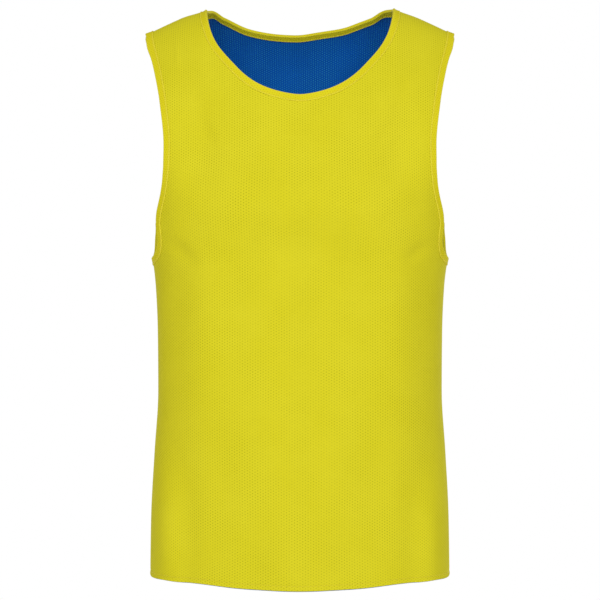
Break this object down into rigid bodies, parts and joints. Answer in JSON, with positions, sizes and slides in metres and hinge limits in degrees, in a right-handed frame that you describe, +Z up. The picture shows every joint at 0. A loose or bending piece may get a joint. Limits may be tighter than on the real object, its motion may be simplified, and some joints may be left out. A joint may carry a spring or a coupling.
{
  "type": "reversible training bib",
  "caption": "Sleeveless two-layer mesh training bib with bound neck and armholes, filled out as worn, yellow outside and blue inside.",
  "frame": {"origin": "midway between the two high shoulder points, where the neck meets the shoulders and the wearer carries the bib", "axes": "+Z up, the wearer looks along -Y, and +X is the wearer's left"},
  "size_m": [0.3922, 0.2544, 0.7034],
  "materials": {
    "yellow_mesh": "matt knitted polyester mesh",
    "blue_mesh": "matt knitted polyester mesh",
    "yellow_binding": "folded knitted polyester mesh"
  },
  "bodies": {
    "root": {"outer_front": "yellow_mesh", "outer_back": "yellow_mesh", "inner_front": "blue_mesh", "inner_back": "blue_mesh", "neck_binding": "yellow_binding", "armhole_binding_left": "yellow_binding", "armhole_binding_right": "yellow_binding"}
  },
  "joints": []
}
